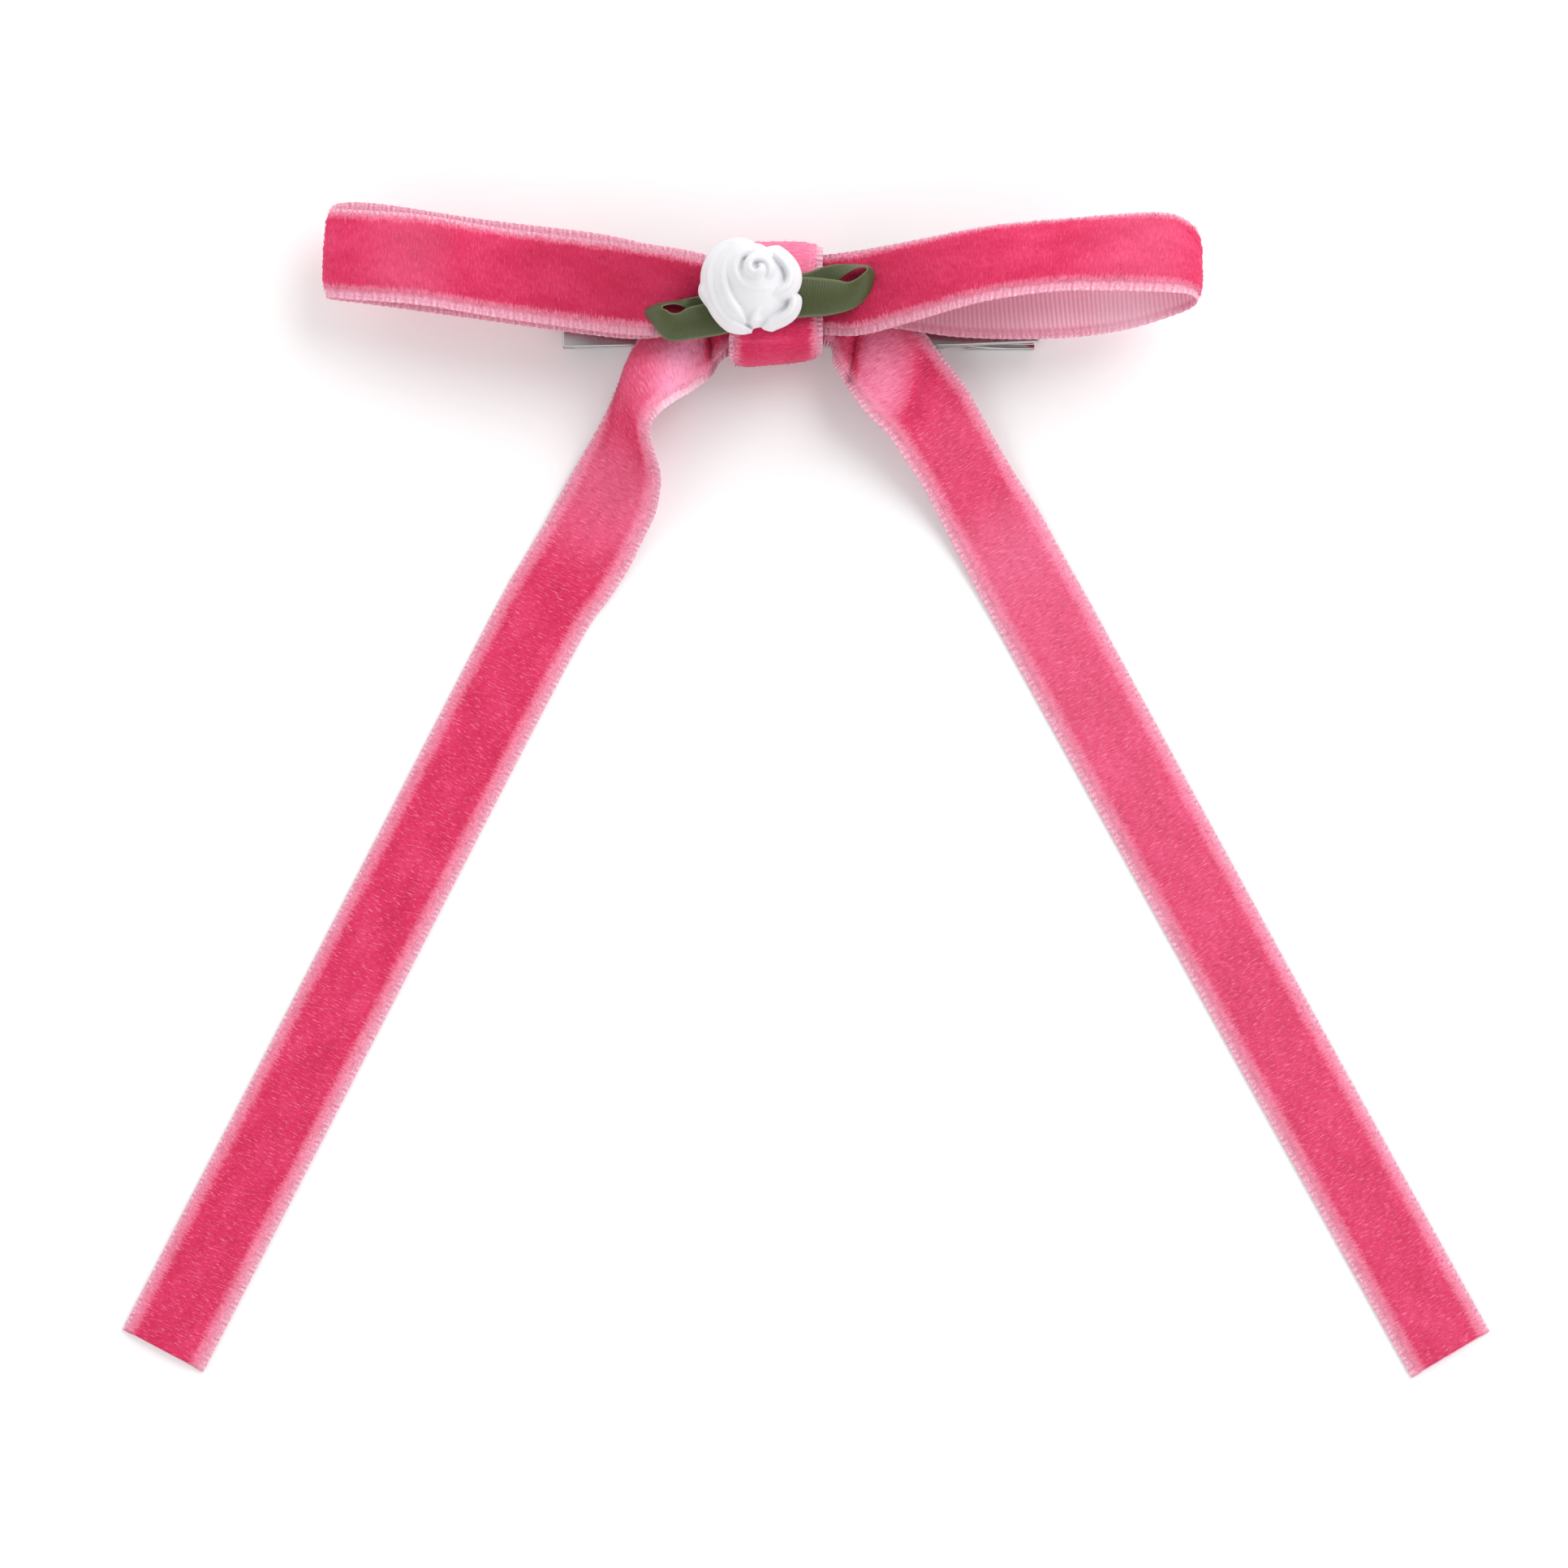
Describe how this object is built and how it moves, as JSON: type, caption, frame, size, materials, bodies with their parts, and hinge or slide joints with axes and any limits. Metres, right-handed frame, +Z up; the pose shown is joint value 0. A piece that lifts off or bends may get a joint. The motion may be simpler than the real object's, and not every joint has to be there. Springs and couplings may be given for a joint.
{
  "type": "barrette",
  "caption": "Alligator-clip barrette that holds a lock of hair under a velvet ribbon bow with long tails, satin leaves and a rolled ribbon rose.",
  "frame": {"origin": "underside of the clip's lower arm, in the middle of the clip's length and width, on the table the barrette lies on", "axes": "+X along the clip from its toothed tip to its thumb tabs, +Y away from the tails, +Z up through the bow"},
  "size_m": [0.1459, 0.1238, 0.0178],
  "materials": {
    "plated_steel": "bright nickel plate on pressed steel",
    "spring_steel": "drawn spring wire",
    "pink_velvet": "single-faced velvet ribbon with short pile and pale woven edges",
    "white_satin": "soft white satin ribbon",
    "green_satin": "dark olive satin ribbon",
    "hot_glue": "set hot-melt glue"
  },
  "bodies": {
    "bow_and_upper_arm": {"clip_upper_arm": "plated_steel", "hinge_pin": "plated_steel", "torsion_spring": "spring_steel", "bow_glue": "hot_glue", "tail_ribbon": "pink_velvet", "loop_ribbon": "pink_velvet", "knot_wrap": "pink_velvet", "leaf_left": "green_satin", "leaf_right": "green_satin", "rose_glue": "hot_glue", "ribbon_rose": "white_satin"},
    "lower_arm": {"clip_lower_arm": "plated_steel"}
  },
  "joints": [
    {"name": "jaw_hinge", "type": "hinge", "parent": "bow_and_upper_arm", "child": "lower_arm", "pos_m": [0.014, 0, 0.0023], "axis": [0, -1, 0], "range_deg": [0, 26], "stiffness_Nm_per_rad": 0.115, "springref_deg": -29.79, "deforming": ["torsion_spring"]}
  ]
}
